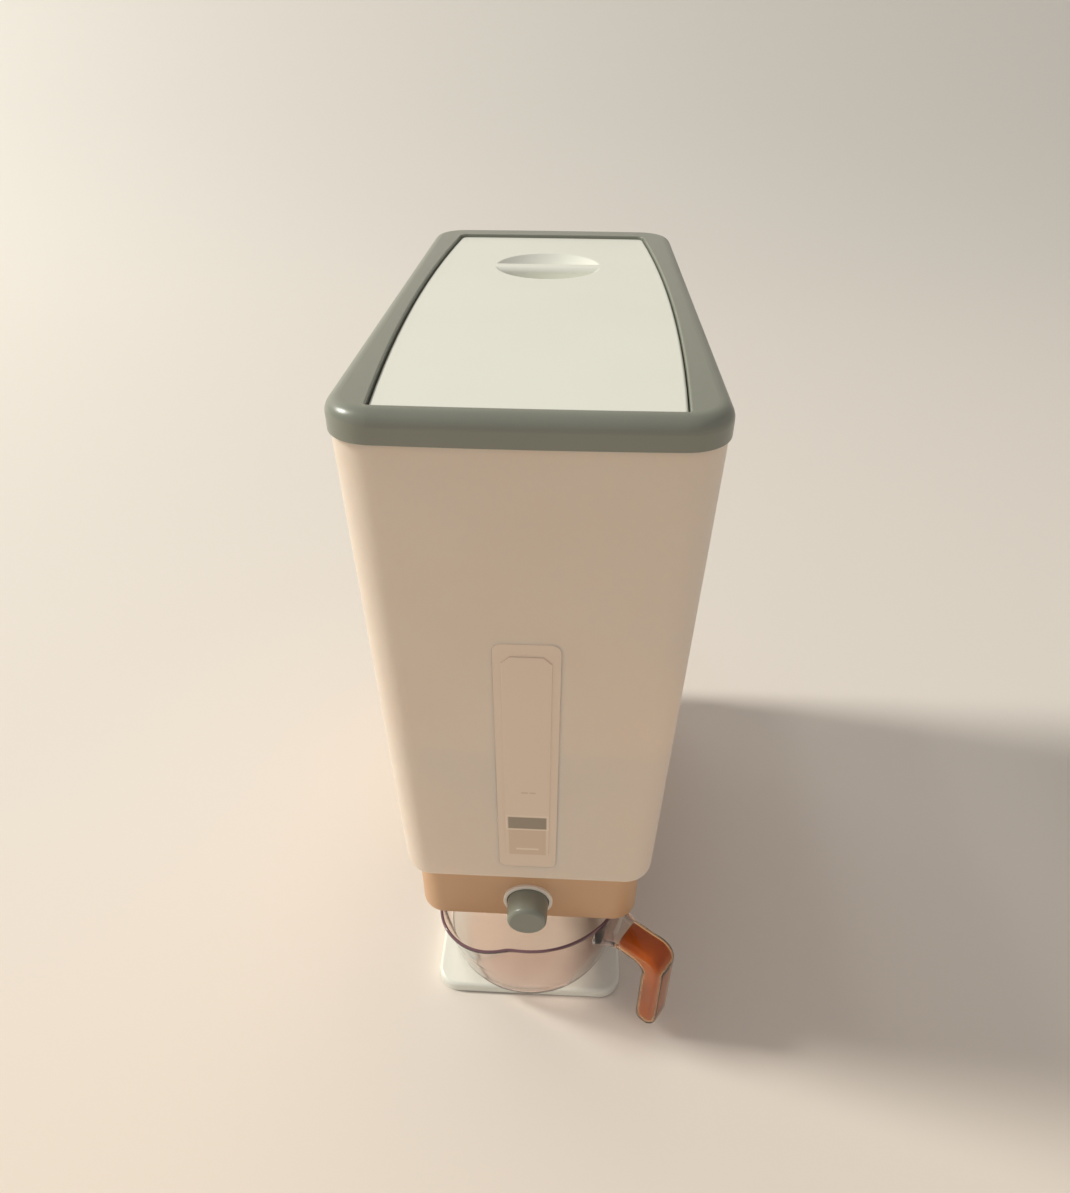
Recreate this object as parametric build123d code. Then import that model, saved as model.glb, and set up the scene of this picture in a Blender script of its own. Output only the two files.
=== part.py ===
from build123d import *
import os
from math import cos, pi, radians, sin, tan

# Push-button rice dispenser: a milky hopper with a flip lid stands on a housing that holds a sprung
# shutter, over an open bay where a clear measuring cup catches the rice.
# Millimetres. X runs to the right, Y to the back, Z up; the origin is the middle of the footprint on
# the table.

# ---------------------------------------------------------------- heights, from the table up
foot_rise = 1.0            # the rubber strips lift the base by this much
base_thickness = 7.5
bay_height = 85.5          # clear height between the base and the housing
housing_height = 45.0
hopper_height = 288.0      # outside height, from the housing's deck to the shoulder under the lid
lid_gap = 0.3              # shadow line between the shoulder and the lid's skirt
lid_height = 14.0

base_bottom = foot_rise
base_top = base_bottom + base_thickness
housing_bottom = base_top + bay_height
deck_top = housing_bottom + housing_height
shoulder = deck_top + hopper_height
lid_bottom = shoulder + lid_gap
lid_top = lid_bottom + lid_height

# ---------------------------------------------------------------- lid frame
lid_width = 170.0
lid_length = 344.0
lid_corner = 22.0
lid_bow = 1.8              # the front and back edges swell by this much
lid_edge = 7.0             # rounding of the top outer edge
skirt = 2.2                # wall of the skirt outside the hopper's neck
skirt_fit = 0.3
rib = 2.0                  # rib inside the neck
web = 2.4                  # top web over the hollow
well_wall = 2.4
ledge_width = 5.0          # the panel's seat
ledge_thickness = 2.2
mouth_corner = 4.0         # corners of the filling mouth inside the ledge
well_edge = 0.8            # rounding of the well's upper edge
well_front_corner = 1.5    # nearly square, so that the panel's front corners can swing up

# ---------------------------------------------------------------- flip panel
panel_end_width = 129.0    # width at the front and back corners
panel_side_bow = 6.5       # each side swells by this much at its middle
panel_end_bow = 0.6
panel_length = 316.0
panel_corner = 5.0
panel_front_border = 8.0   # frame in front of the panel
panel_gap = 0.5
panel_drop = 1.8           # the panel lies this far below the frame's top
panel_thickness = 3.2
panel_edge = 1.4
panel_under_edge = 0.6
dish_radius = 33.0
dish_depth = 11.0
dish_from_back = 80.0      # centre of the grip dish to the panel's back edge
dish_wall = 2.0
dish_lip = 1.2
dish_join = 0.5            # the dish's shell runs this far up into the panel
bar_width = 13.0           # grip bar across the dish
bar_edge = 3.5
gasket_inset = 1.4
gasket_width = 2.2
gasket_thickness = 1.2
gasket_clearance = 0.3
hinge_inset = 1.6          # hinge axis behind the panel's front corners
pin_radius = 1.0
pin_running_gap = 0.06
pin_seat_gap = 0.01
pin_in_panel = 12.0
pin_in_frame = 4.0
pin_end_gap = 0.4
pin_boss = 2.6             # half width of the frame's pin boss
pin_boss_end = 1.0

# ---------------------------------------------------------------- hopper
overhang = 1.0             # the lid stands out past the hopper by this much
hopper_corner_top = 21.0
hopper_corner_bottom = 18.0
side_draft = 1.52          # degrees, each side
end_draft = 0.4            # degrees, front and back
hopper_wall = 2.6
hopper_floor_thickness = 2.6
hopper_foot_edge = 3.0
neck_height = 6.6
neck_wall = 2.4
collar_height = 5.0
seal_height = 2.2
seal_inset = 0.5

# ---------------------------------------------------------------- sight window
window_border_width = 34.0
window_border_height = 173.0
window_border_corner = 5.0
window_above_floor = 99.5  # centre of the border above the deck
window_flange = 1.1
window_fit = 0.1
strip_width = 25.5
strip_height = 155.0
strip_offset = 1.5         # the clear strip sits this much above the border's centre
strip_corner = 4.0
strip_chamfer = 4.5
strip_proud = 0.6
strip_edge = 0.4
slider_height = 25.0       # pale plate at the foot of the strip, with the grey band on top
slider_foot = 1.0
slider_thickness = 1.6
band_height = 10.0
band_thickness = 2.0
slider_lip_width = 15.0
slider_lip = 1.2
slider_lip_above = 5.0
slider_side_gap = 0.75
slider_pad = 0.2           # slider to pane

# ---------------------------------------------------------------- funnel and outlet throat
throat_setback = 49.5       # the throat's centre behind the housing's front
throat_hole = (62.0, 36.0)
throat_flange = (70.0, 44.0)
throat_flange_corner = 6.0
throat_flange_thickness = 2.0
throat_mouth = (58.0, 32.0)
throat_slot = (44.0, 12.0)
throat_wall = 1.8
throat_fit = 0.3
throat_corner = 2.0
throat_gasket_thickness = 0.8
funnel_height = 106.0
funnel_wall = 2.0
funnel_fit = 0.3
funnel_corner = 6.0

# ---------------------------------------------------------------- housing
housing_width = 140.0
housing_length = 329.0
housing_corner = 16.0
housing_wall = 2.4
deck_thickness = 2.4
housing_edge = 1.2
floor_plate = 2.4
floor_fit = 0.2
housing_front = -housing_length / 2
throat_y = housing_front + throat_setback

# ---------------------------------------------------------------- push button and shutter
button_below_deck = 27.0
button_base_radius = 13.1
button_end_radius = 12.2
button_length = 17.0       # how far it stands out of the housing
button_inside = 13.5       # straight barrel inside the housing
button_end_edge = 2.6
button_wall = 2.2
button_face = 2.6
button_travel = 14.0
flange_radius = 15.0
flange_thickness = 2.5
flange_gap = 0.3
bezel_radius = 15.6
bezel_proud = 2.0
bezel_sleeve = 14.4
bezel_bore = 13.5
bezel_hole_gap = 0.2
bezel_edge = 0.8
gate_width = 64.0
gate_thickness = 2.5
gate_top_gap = 0.4         # shutter to throat, and shutter to spout
gate_overlap = 4.0         # shutter past the slot's back edge
gate_lead = 2.5            # solid shutter between the slot and its window
gate_tab_width = 34.0
gate_tab_thickness = 2.5
gate_tab_hole = 10.4
gate_tab_foot_gap = 3.0
gate_above_button = 10.0   # shutter's underside above the button's axis
gate_edge_gap = 0.3
gate_window_extra = 1.0    # the shutter's window is this much longer than its stroke needs
gate_head_gap = 0.1
tab_bore_extra = 2.0
guide_width = 7.0
guide_lip = 2.2
guide_engage = 3.0
guide_end_gap = 4.0
guide_lead = 1.5           # the guides start this far in front of the shutter
guide_screw_front = 6.0
guide_screw_back = 8.0
guide_screw_out = 0.8
bracket_screw_x = 20.0
bracket_side_gap = 0.1
bracket_thickness = 3.5
bracket_gap = 1.0          # shutter tab to bracket when the button is fully pressed
bracket_top_gap = 1.5
boss_radius = 7.2
boss_length = 5.0
spring_wire = 1.2
spring_radius = 8.4        # to the middle of the wire
spring_turns = 8
spring_end_gap = 0.1

# ---------------------------------------------------------------- outlet spout
spout_top = (50.0, 22.0)
spout_end = (40.0, 20.0)
spout_wall = 2.0
spout_corner = 3.0
spout_drop = 3.0           # below the housing
spout_flange = (56.0, 28.0)
spout_flange_thickness = 2.0
spout_flange_back = 2.0    # flange centre behind the spout's
spout_hole_gap = 1.0
spout_back = 0.5           # the spout's centre behind the throat's
spout_y = throat_y + spout_back

# ---------------------------------------------------------------- column and base
column_width = 124.0
column_length = 184.0
column_back_inset = 14.5   # the column's back inside the housing's
column_corner = 14.0
column_wall = 2.4
base_width = 130.0
base_length = 326.0
base_back_margin = 9.5     # the base past the column's back
base_corner = 15.0
base_edge = 2.5
base_wall = 2.4
base_web = 2.6
cover_thickness = 2.0
cover_fit = 0.2
strip_size = (90.0, 10.0)
strip_recess = 1.2
strip_fit = 0.1
foot_strip_inset = 18.0
column_back = housing_length / 2 - column_back_inset
column_front = column_back - column_length
base_back = column_back + base_back_margin
base_front = base_back - base_length
foot_strip_y = (base_front + foot_strip_inset, (base_front + base_back) / 2, base_back - foot_strip_inset)

# ---------------------------------------------------------------- screws and bosses
screw_fit = 0.05
head_gap = 0.3             # finger room round a screw's head
bore_spare = 0.5           # a bore is this much deeper than its screw
boss_web = 1.0             # left at the top of a blind boss
pad_margin = 1.0
small_screw = 1.1          # shank radius
medium_screw = 1.5
large_screw = 1.9
small_boss = 4.0
large_boss = 4.8
head_ratio = 1.9           # head radius over shank radius
head_height_ratio = 1.1
recess_ratio = 0.55
floor_screw_length = 14.0
hopper_screw_length = 11.0
column_screw_length = 18.0
base_screw_length = 18.0
guide_screw_length = 9.0
hopper_boss_height = 11.0
column_boss_height = 14.0
floor_screw_x = 60.0
floor_screw_end = 14.5     # from the housing's front and back
floor_screw_middle = 39.0  # behind the column's front
hopper_screw_x = 48.0
hopper_screw_front = 15.0  # in front of the throat's centre
hopper_screw_back = 40.0   # in front of the column's back
column_screw_x = 50.0
column_screw_end = 16.0    # from the column's front and back
base_screw_x = 55.5
base_screw_end = 12.0


def in_pairs(x, *rows):
    """Places to the left and right at each distance back."""
    return tuple((side * x, y) for y in rows for side in (-1, 1))


floor_screw_places = in_pairs(floor_screw_x, housing_front + floor_screw_end,
                              column_front + floor_screw_middle, housing_length / 2 - floor_screw_end)
hopper_screw_places = in_pairs(hopper_screw_x, throat_y - hopper_screw_front, column_back - hopper_screw_back)
column_screw_places = in_pairs(column_screw_x, column_front + column_screw_end,
                               column_back - column_screw_end)
base_screw_places = in_pairs(base_screw_x, column_front + base_screw_end, column_back - base_screw_end)

# ---------------------------------------------------------------- measuring cup
cup_height = 77.0
cup_clearance = 16.0       # the cup's rim to the column
cup_stand_gap = 0.2
cup_foot_radius = 43.5
cup_heel = 16.0            # rounding between foot and wall
cup_belly = 65.6           # outer radius at half height
cup_rim_radius = 67.5
cup_y = column_front - cup_clearance - cup_rim_radius
cup_cut_above = 5.0
cup_wall = 2.0
lip_angle = -126.0         # pouring lip, seen from above, from +X
lip_reach = 10.0           # past the rim's circle
lip_radius = 34.0
lip_foot_radius = 14.0
lip_drop = 42.0
lip_foot_inset = 3.0
handle_angle = -36.0
handle_reach = 112.5       # cup's axis to the grip's outer face
handle_width = 22.0
arm_height = 13.0
arm_below_rim = 1.0
grip_depth = 15.0
grip_end_height = 9.5      # grip's end above the table
handle_outer_bend = 11.0
handle_inner_bend = 6.0
handle_edge = 4.0
grip_end_edge = 6.5
handle_skin = 1.8
insert_fit = 0.15
insert_start = 80.5        # cup's axis to the insert
insert_break_out = 1.0     # the skin's hollow runs this far past its inner side
root_half_width = 19.0
root_reach = 80.0
root_wall = 2.2
root_overlap = 6.0         # root set into the cup's wall


def plate(width, length, corner, thickness, z, x=0.0, y=0.0):
    """Rounded rectangular plate, its underside at height z."""
    corner = min(corner, 0.49 * min(width, length))
    return Pos(x, y, z) * extrude(RectangleRounded(width, length, corner), thickness)


def disc(radius, height, z, x=0.0, y=0.0):
    """Upright cylinder, its underside at height z."""
    return Pos(x, y, z) * extrude(Circle(radius), height)


def bowed_edge(start, end, swell):
    """Straight edge, or an arc where it swells sideways by the vector swell."""
    a, b, s = Vector(*start), Vector(*end), Vector(*swell)
    if s.length < 1e-6:
        return Line(a, b)
    return ThreePointArc(a, (a + b) * 0.5 + s, b)


def bowed_outline(width, length, side_bow, end_bow, corner, grow=0.0):
    """Four-sided outline with swelling edges and rounded corners, grown by an even margin."""
    x, y = width / 2 + grow, length / 2 + grow
    edges = [
        bowed_edge((-x, -y), (x, -y), (0, -end_bow)),
        bowed_edge((x, -y), (x, y), (side_bow, 0)),
        bowed_edge((x, y), (-x, y), (0, end_bow)),
        bowed_edge((-x, y), (-x, -y), (-side_bow, 0)),
    ]
    face = make_face(edges)
    return fillet(face.vertices(), corner + grow)


def along_y(shape, x, y, z):
    """Turn a shape built along +Z so that it runs towards the back, and place it."""
    return Pos(x, y, z) * Rot(-90, 0, 0) * shape


def screw(radius, length):
    """Screw along +Z: its head's top face at 0, its shank above, and a cross recess in the head."""
    head = radius * head_height_ratio
    body = extrude(Circle(radius * head_ratio), head) + Pos(0, 0, head) * extrude(Circle(radius), length)
    slot = radius * recess_ratio
    cross = Rectangle(4 * slot, slot) + Rectangle(slot, 4 * slot)
    return body - extrude(cross, slot)


def screw_set(radius, length, places, seat):
    """Upright screws whose heads touch the underside of what they clamp, at height seat."""
    head = radius * head_height_ratio
    return [Pos(x, y, seat - head) * screw(radius, length) for x, y in places]


def drill(radius, places, z_low, z_high):
    """Clearance bores for upright screws."""
    return [disc(radius + screw_fit, z_high - z_low, z_low, x, y) for x, y in places]


def head_pockets(radius, places, seat, depth):
    """Pockets under the height seat for screw heads, with finger room all round."""
    return [disc(radius * head_ratio + head_gap, depth, seat - depth, x, y) for x, y in places]


def with_all(body, pieces):
    for piece in pieces:
        body += piece
    return body


def without_all(body, pieces):
    for piece in pieces:
        body -= piece
    return body


# ---------------------------------------------------------------- hopper sections
def hopper_section(z, inset=0.0):
    """Width, length and corner radius of the hopper's tapered section at height z."""
    below = shoulder - z
    share = below / hopper_height
    width = lid_width - 2 * overhang - 2 * below * tan(radians(side_draft)) - 2 * inset
    length = lid_length - 2 * overhang - 2 * below * tan(radians(end_draft)) - 2 * inset
    corner = hopper_corner_top + (hopper_corner_bottom - hopper_corner_top) * share - inset
    return width, length, corner


def hopper_block(z_low, z_high, inset=0.0):
    """Solid between two heights, inset from the hopper's outer faces."""
    low = Pos(0, 0, z_low) * RectangleRounded(*hopper_section(z_low, inset))
    high = Pos(0, 0, z_high) * RectangleRounded(*hopper_section(z_high, inset))
    return loft([low, high], ruled=True)


def duct(low_size, low_z, high_size, high_z, y_low, y_high, corner_low, corner_high):
    """Tapered rectangular block between two rounded rectangles."""
    low = Pos(0, y_low, low_z) * RectangleRounded(*low_size, corner_low)
    high = Pos(0, y_high, high_z) * RectangleRounded(*high_size, corner_high)
    return loft([low, high], ruled=True)


hopper_floor_top = deck_top + hopper_floor_thickness
neck_width = lid_width - 2 * (skirt + skirt_fit)
neck_length = lid_length - 2 * (skirt + skirt_fit)
neck_corner = lid_corner - skirt - skirt_fit
neck_top = shoulder + neck_height
seal_top = neck_top + seal_height

# Plane of the hopper's front wall: x to the right, y up the wall, z outwards.
window_z = deck_top + window_above_floor
front_y = -hopper_section(window_z)[1] / 2
front_wall = Plane(
    origin=(0, front_y, window_z),
    x_dir=(1, 0, 0),
    z_dir=(0, -cos(radians(end_draft)), -sin(radians(end_draft))),
)


def on_front(shape):
    """Place a shape drawn with z outwards on the hopper's front wall."""
    return front_wall.location * shape


def strip_outline(shrink=0.0):
    """Clear strip: chamfered at its top corners and rounded at its foot."""
    face = Pos(0, strip_offset) * Rectangle(strip_width - 2 * shrink, strip_height - 2 * shrink)
    high = face.vertices().group_by(Axis.Y)[-1]
    face = chamfer(high, strip_chamfer - shrink)
    low = face.vertices().group_by(Axis.Y)[0]
    return fillet(low, strip_corner - shrink)


def make_container():
    """Milky hopper with its neck, throat hole, window opening and screw bosses."""
    body = hopper_block(deck_top, shoulder)
    foot = body.faces().sort_by(Axis.Z)[0]
    body = fillet(foot.edges(), hopper_foot_edge)
    body -= hopper_block(hopper_floor_top, shoulder, hopper_wall)
    neck_hole = plate(neck_width - 2 * neck_wall, neck_length - 2 * neck_wall, neck_corner - neck_wall,
                      neck_height + collar_height, shoulder - collar_height)
    collar = hopper_block(shoulder - collar_height, shoulder, hopper_wall)
    neck = plate(neck_width, neck_length, neck_corner, neck_height, shoulder)
    body += collar + neck - neck_hole
    body -= plate(*throat_hole, throat_corner + throat_fit, hopper_floor_thickness, deck_top, y=throat_y)
    bosses = [disc(large_boss, hopper_boss_height, hopper_floor_top, x, y) for x, y in hopper_screw_places]
    body = with_all(body, bosses)
    bore_top = deck_top + hopper_screw_length - deck_thickness + bore_spare
    body = without_all(body, drill(medium_screw, hopper_screw_places, deck_top, bore_top))
    border = RectangleRounded(window_border_width, window_border_height, window_border_corner)
    body -= on_front(Pos(0, 0, -window_flange) * extrude(border, 2 * window_flange))
    body -= on_front(Pos(0, 0, -2 * hopper_wall) * extrude(strip_outline(), 3 * hopper_wall))
    return body


def make_sight_window():
    """Clear pane: a thin border in the wall's recess and a thicker strip through the wall."""
    border = RectangleRounded(window_border_width - 2 * window_fit, window_border_height - 2 * window_fit,
                              window_border_corner - window_fit)
    strip = strip_outline(window_fit)
    pane = Pos(0, 0, -window_flange) * extrude(border, window_flange)
    raised = extrude(strip, strip_proud)
    raised = fillet(raised.faces().sort_by(Axis.Z)[-1].edges(), strip_edge)
    pane += Pos(0, 0, -hopper_wall) * extrude(strip, hopper_wall)
    return on_front(pane + raised)


strip_foot = strip_offset - strip_height / 2      # in the front wall's plane
slider_width = strip_width - 2 * slider_side_gap
pane_back = -hopper_wall - slider_pad


def make_level_slider():
    """Pale plate behind the strip's foot, with a small lip."""
    y = strip_foot + slider_foot + slider_height / 2
    body = extrude(Rectangle(slider_width, slider_height), slider_thickness)
    body = Pos(0, y, pane_back - slider_thickness) * body
    lip_y = strip_foot + slider_foot + slider_lip_above
    lip = Pos(0, lip_y, pane_back - slider_thickness - slider_lip) * extrude(
        Rectangle(slider_lip_width, slider_lip), slider_lip)
    return on_front(body + lip)


def make_level_band():
    """Grey band on top of the slider: the refill mark."""
    y = strip_foot + slider_foot + slider_height + band_height / 2
    return on_front(Pos(0, y, pane_back - band_thickness) * extrude(Rectangle(slider_width, band_height),
                                                                    band_thickness))


# ---------------------------------------------------------------- lid
panel_top = lid_top - panel_drop
panel_bottom = panel_top - panel_thickness
ledge_top = panel_bottom - gasket_thickness - gasket_clearance
panel_front = -lid_length / 2 + panel_front_border
panel_y = panel_front + panel_length / 2
hinge_y = panel_front + hinge_inset
hinge_z = panel_bottom + panel_thickness / 2
pin_side = panel_end_width / 2 - panel_corner + (
    panel_corner ** 2 - (panel_corner - hinge_inset) ** 2) ** 0.5   # panel's side edge beside the pin
well_side = panel_end_width / 2 + panel_gap


def panel_block(z_low, z_high, grow=0.0, corner=panel_corner):
    """Block with the flip panel's outline, grown by an even margin."""
    outline = bowed_outline(panel_end_width, panel_length, panel_side_bow, panel_end_bow, corner, grow)
    return Pos(0, panel_y, z_low) * extrude(outline, z_high - z_low)


def make_lid_frame():
    """Grey snap-on frame: skirt, channel for the neck, rib, well for the panel and pin bosses."""
    outline = bowed_outline(lid_width, lid_length, 0.0, lid_bow, lid_corner)
    body = Pos(0, 0, lid_bottom) * extrude(outline, lid_height)
    body = fillet(body.faces().sort_by(Axis.Z)[-1].edges(), lid_edge)
    channel_in = neck_wall + skirt_fit
    channel = plate(neck_width + 2 * skirt_fit, neck_length + 2 * skirt_fit, neck_corner + skirt_fit,
                    seal_top - lid_bottom, lid_bottom)
    channel -= plate(neck_width - 2 * channel_in, neck_length - 2 * channel_in, neck_corner - channel_in,
                     seal_top - lid_bottom, lid_bottom)
    inside = channel_in + rib
    rib_size = (neck_width - 2 * inside, neck_length - 2 * inside, neck_corner - inside)
    ledge_bottom = ledge_top - ledge_thickness
    low_pocket = plate(*rib_size, ledge_bottom - lid_bottom, lid_bottom)
    high_pocket = plate(*rib_size, lid_top - web - ledge_bottom, ledge_bottom)
    high_pocket -= panel_block(ledge_bottom, lid_top, panel_gap + well_wall)
    body = body - low_pocket - high_pocket
    boss_reach = pin_in_frame + pin_end_gap + pin_boss_end
    for side in (-1, 1):
        x = side * (well_side + boss_reach / 2)
        boss = Pos(x, hinge_y, (ledge_bottom + lid_top - web) / 2) * Box(
            boss_reach, 2 * pin_boss, lid_top - web - ledge_bottom)
        body += boss
    body -= channel
    body -= panel_block(ledge_top, lid_top, panel_gap)
    front_part = Pos(0, panel_front, lid_top) * Box(lid_width, 4 * panel_corner, 2 * lid_height)
    body -= panel_block(ledge_top, lid_top, panel_gap, well_front_corner - panel_gap) & front_part
    body -= panel_block(lid_bottom, lid_top, -ledge_width, mouth_corner + ledge_width)
    top_face = body.faces().filter_by(Axis.Z).sort_by(Axis.Z)[-1]
    body = fillet(top_face.inner_wires()[0].edges(), well_edge)
    for side in (-1, 1):
        bore_length = well_side - pin_side + pin_in_frame + pin_end_gap
        bore = extrude(Circle(pin_radius + pin_running_gap), bore_length)
        body -= Pos(side * pin_side, hinge_y, hinge_z) * Rot(0, side * 90, 0) * bore
    return body


def make_frame_seal():
    """Silicone ring between the neck's top and the lid frame."""
    outer = plate(neck_width - 2 * seal_inset, neck_length - 2 * seal_inset, neck_corner - seal_inset,
                  seal_height, neck_top)
    return outer - plate(neck_width - 2 * neck_wall, neck_length - 2 * neck_wall, neck_corner - neck_wall,
                         seal_height, neck_top)


def make_lid_panel():
    """White flip panel with its round grip dish, and a bar across the dish flush with the top."""
    body = panel_block(panel_bottom, panel_top)
    body = fillet(body.faces().sort_by(Axis.Z)[-1].edges(), panel_edge)
    body = fillet(body.faces().sort_by(Axis.Z)[0].edges(), panel_under_edge)
    dish_y = panel_y + panel_length / 2 - dish_from_back
    ball = (dish_radius ** 2 + dish_depth ** 2) / (2 * dish_depth)
    centre = Pos(0, dish_y, panel_top - dish_depth + ball)
    shell = centre * Sphere(ball + dish_wall)
    below = Pos(0, dish_y, panel_bottom + dish_join - ball) * Box(4 * ball, 4 * ball, 2 * ball)
    body += shell & below
    hollow = centre * Sphere(ball)
    body -= hollow
    rim = [e for e in body.edges() if e.geom_type == GeomType.CIRCLE and abs(e.radius - dish_radius) < 0.01
           and abs(e.center().Z - panel_top) < 0.01]
    body = fillet(rim, dish_lip)
    bar = Pos(0, dish_y, panel_top - dish_depth / 2) * Box(2.2 * dish_radius, bar_width, dish_depth)
    top = bar.edges().filter_by(Axis.X).group_by(Axis.Z)[-1]
    bar = fillet(top, bar_edge)
    reach = disc(dish_radius + 2 * dish_lip, 2 * dish_depth, panel_top - 2 * dish_depth, y=dish_y)
    body += bar & (centre * Sphere(ball + dish_wall / 2)) & reach
    for side in (-1, 1):
        seat = extrude(Circle(pin_radius + pin_seat_gap), 2 * pin_in_panel)
        body -= Pos(side * (pin_side - pin_in_panel), hinge_y, hinge_z) * Rot(0, side * 90, 0) * seat
    return body


def make_lid_gasket():
    """Soft ring under the panel."""
    z = panel_bottom - gasket_thickness
    ring = panel_block(z, panel_bottom, -gasket_inset)
    return ring - panel_block(z, panel_bottom, -gasket_inset - gasket_width)


def make_hinge_pins():
    """Two steel pins, pressed into the panel and turning in the frame."""
    length = pin_in_panel + well_side - pin_side + pin_in_frame
    pin = extrude(Circle(pin_radius), length)
    return [Pos(side * (pin_side - pin_in_panel), hinge_y, hinge_z) * Rot(0, side * 90, 0) * pin
            for side in (-1, 1)]


# ---------------------------------------------------------------- funnel and throat
button_z = deck_top - button_below_deck
gate_bottom = button_z + gate_above_button
gate_top = gate_bottom + gate_thickness
throat_bottom = gate_top + gate_top_gap
throat_seat = hopper_floor_top + throat_gasket_thickness
funnel_bottom = throat_seat + throat_flange_thickness
funnel_top = funnel_bottom + funnel_height


def make_throat_gasket():
    ring = plate(*throat_flange, throat_flange_corner, throat_gasket_thickness, hopper_floor_top,
                 y=throat_y)
    return ring - plate(*throat_hole, throat_corner + throat_fit, throat_gasket_thickness, hopper_floor_top,
                        y=throat_y)


def make_outlet_throat():
    """Flanged chute through the hopper's floor, narrowing to the slot over the shutter."""
    sleeve = tuple(size - 2 * throat_fit for size in throat_hole)
    nose = tuple(size + 2 * throat_wall for size in throat_slot)
    body = plate(*throat_flange, throat_flange_corner, throat_flange_thickness, throat_seat, y=throat_y)
    sleeve_bottom = deck_top - deck_thickness
    body += plate(*sleeve, throat_corner, throat_seat - sleeve_bottom, sleeve_bottom, y=throat_y)
    body += duct(nose, throat_bottom, sleeve, sleeve_bottom, throat_y, throat_y, throat_corner, throat_corner)
    body -= duct(throat_slot, throat_bottom, throat_mouth, funnel_bottom, throat_y, throat_y,
                 throat_corner, throat_corner)
    return body


def make_hopper_floor():
    """Sloping funnel that leads the rice to the throat."""
    high = hopper_section(funnel_top, hopper_wall + funnel_fit)
    high_in = hopper_section(funnel_top, hopper_wall + funnel_fit + funnel_wall)
    body = duct(throat_flange, funnel_bottom, high[:2], funnel_top, throat_y, 0.0, funnel_corner, high[2])
    body -= duct(throat_mouth, funnel_bottom, high_in[:2], funnel_top, throat_y, 0.0, throat_corner,
                 high_in[2])
    return body


# ---------------------------------------------------------------- housing
floor_top = housing_bottom + floor_plate
deck_bottom = deck_top - deck_thickness


def make_dispenser_housing():
    """Housing shell with its deck, button hole and screw bosses; open underneath."""
    body = plate(housing_width, housing_length, housing_corner, housing_height, housing_bottom)
    body = fillet(body.faces().sort_by(Axis.Z)[0].edges(), housing_edge)
    body -= plate(housing_width - 2 * housing_wall, housing_length - 2 * housing_wall,
                  housing_corner - housing_wall, housing_height - deck_thickness, housing_bottom)
    boss_height = deck_bottom - floor_top
    bosses = [disc(small_boss, boss_height, floor_top, x, y) for x, y in floor_screw_places]
    bosses += [disc(large_boss, boss_height, floor_top, x, y) for x, y in column_screw_places]
    body = with_all(body, bosses)
    body -= plate(*throat_hole, throat_corner + throat_fit, deck_thickness, deck_bottom, y=throat_y)
    body = without_all(body, drill(medium_screw, hopper_screw_places, deck_bottom, deck_top))
    body = without_all(body, drill(medium_screw, floor_screw_places, floor_top,
                                   housing_bottom + floor_screw_length + bore_spare))
    column_seat = housing_bottom - column_wall
    body = without_all(body, drill(large_screw, column_screw_places, floor_top,
                                   column_seat + column_screw_length + bore_spare))
    hole = extrude(Circle(bezel_sleeve + bezel_hole_gap), 2 * housing_wall)
    body -= along_y(hole, 0, housing_front - housing_wall / 2, button_z)
    return body


def make_housing_floor():
    """Floor plate inside the housing's walls, with the spout's hole."""
    inset = 2 * (housing_wall + floor_fit)
    body = plate(housing_width - inset, housing_length - inset, housing_corner - inset / 2, floor_plate,
                 housing_bottom)
    hole = tuple(spout_size(housing_bottom + floor_plate, axis) + 2 * spout_hole_gap for axis in (0, 1))
    body -= plate(*hole, spout_corner, floor_plate, housing_bottom, y=spout_y)
    head = medium_screw * head_height_ratio
    body = without_all(body, drill(medium_screw, floor_screw_places, housing_bottom, floor_top))
    body = without_all(body, head_pockets(medium_screw, floor_screw_places, housing_bottom + head, head))
    body = without_all(body, drill(large_screw, column_screw_places, housing_bottom, floor_top))
    small_head = small_screw * head_height_ratio
    places = guide_screw_places + bracket_screw_places
    body = without_all(body, drill(small_screw, places, housing_bottom, floor_top))
    body = without_all(body, head_pockets(small_screw, places, housing_bottom + small_head, small_head))
    return body


# ---------------------------------------------------------------- button, shutter and spring
barrel_back = housing_front + button_inside
flange_back = barrel_back + flange_thickness
slot_front = throat_y - throat_slot[1] / 2
slot_back = throat_y + throat_slot[1] / 2
gate_window = button_travel - gate_lead + gate_window_extra      # the shutter's opening along Y
gate_window_back = slot_front - gate_lead
tab_back = flange_back + gate_tab_thickness
gate_back = slot_back + gate_overlap
bracket_front = tab_back + button_travel + bracket_gap
guide_x = gate_width / 2 - guide_engage
guide_back = gate_back + button_travel + guide_end_gap
guide_screw_x = guide_x + guide_width / 2 + guide_screw_out
guide_screw_places = in_pairs(guide_screw_x, flange_back + guide_screw_front, guide_back - guide_screw_back)
bracket_screw_places = in_pairs(bracket_screw_x, bracket_front + bracket_thickness / 2)


def spout_size(z, axis):
    """Outer width (axis 0) or length (axis 1) of the spout at height z."""
    spout_high = gate_bottom - gate_top_gap
    spout_low = housing_bottom - spout_drop
    share = (z - spout_low) / (spout_high - spout_low)
    return spout_end[axis] + (spout_top[axis] - spout_end[axis]) * share


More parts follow.
